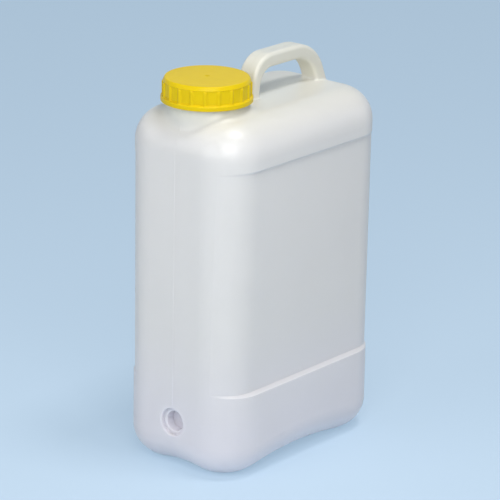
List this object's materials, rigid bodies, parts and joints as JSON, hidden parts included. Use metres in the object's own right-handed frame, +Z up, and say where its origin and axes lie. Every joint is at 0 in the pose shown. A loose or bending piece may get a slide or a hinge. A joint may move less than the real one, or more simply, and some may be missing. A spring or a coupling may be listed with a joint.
{
  "type": "wide-neck canister",
  "caption": "Blown plastic canister with a moulded carrying handle, a wide neck closed by a ribbed screw cap, and a round seat for a tap low on the end under the neck.",
  "frame": {"origin": "middle of the base, on the surface that the feet stand on", "axes": "+Z up; X along the broad sides with the neck and the tap seat towards -X; Y through the depth"},
  "size_m": [0.292, 0.178, 0.4855],
  "materials": {
    "canister": "natural milky white polyethylene, satin",
    "cap": "yellow, semi-gloss",
    "seal": "pale grey, matt"
  },
  "bodies": {
    "canister": {"canister": "canister"},
    "ring": {"sealing_ring": "seal"},
    "cap": {"screw_cap": "cap"}
  },
  "joints": [
    {"name": "cap_lift", "type": "slide", "parent": "canister", "child": "ring", "axis": [0, 0, 1], "range_m": [0, 0.015]},
    {"name": "cap_turn", "type": "hinge", "parent": "ring", "child": "cap", "pos_m": [-0.0897, 0, 0.4615], "axis": [0, 0, 1], "range_deg": [0, 900]}
  ],
  "couplings": [
    {"joint": "cap_lift", "follows": "cap_turn", "m_per_rad": 0.00095492}
  ]
}
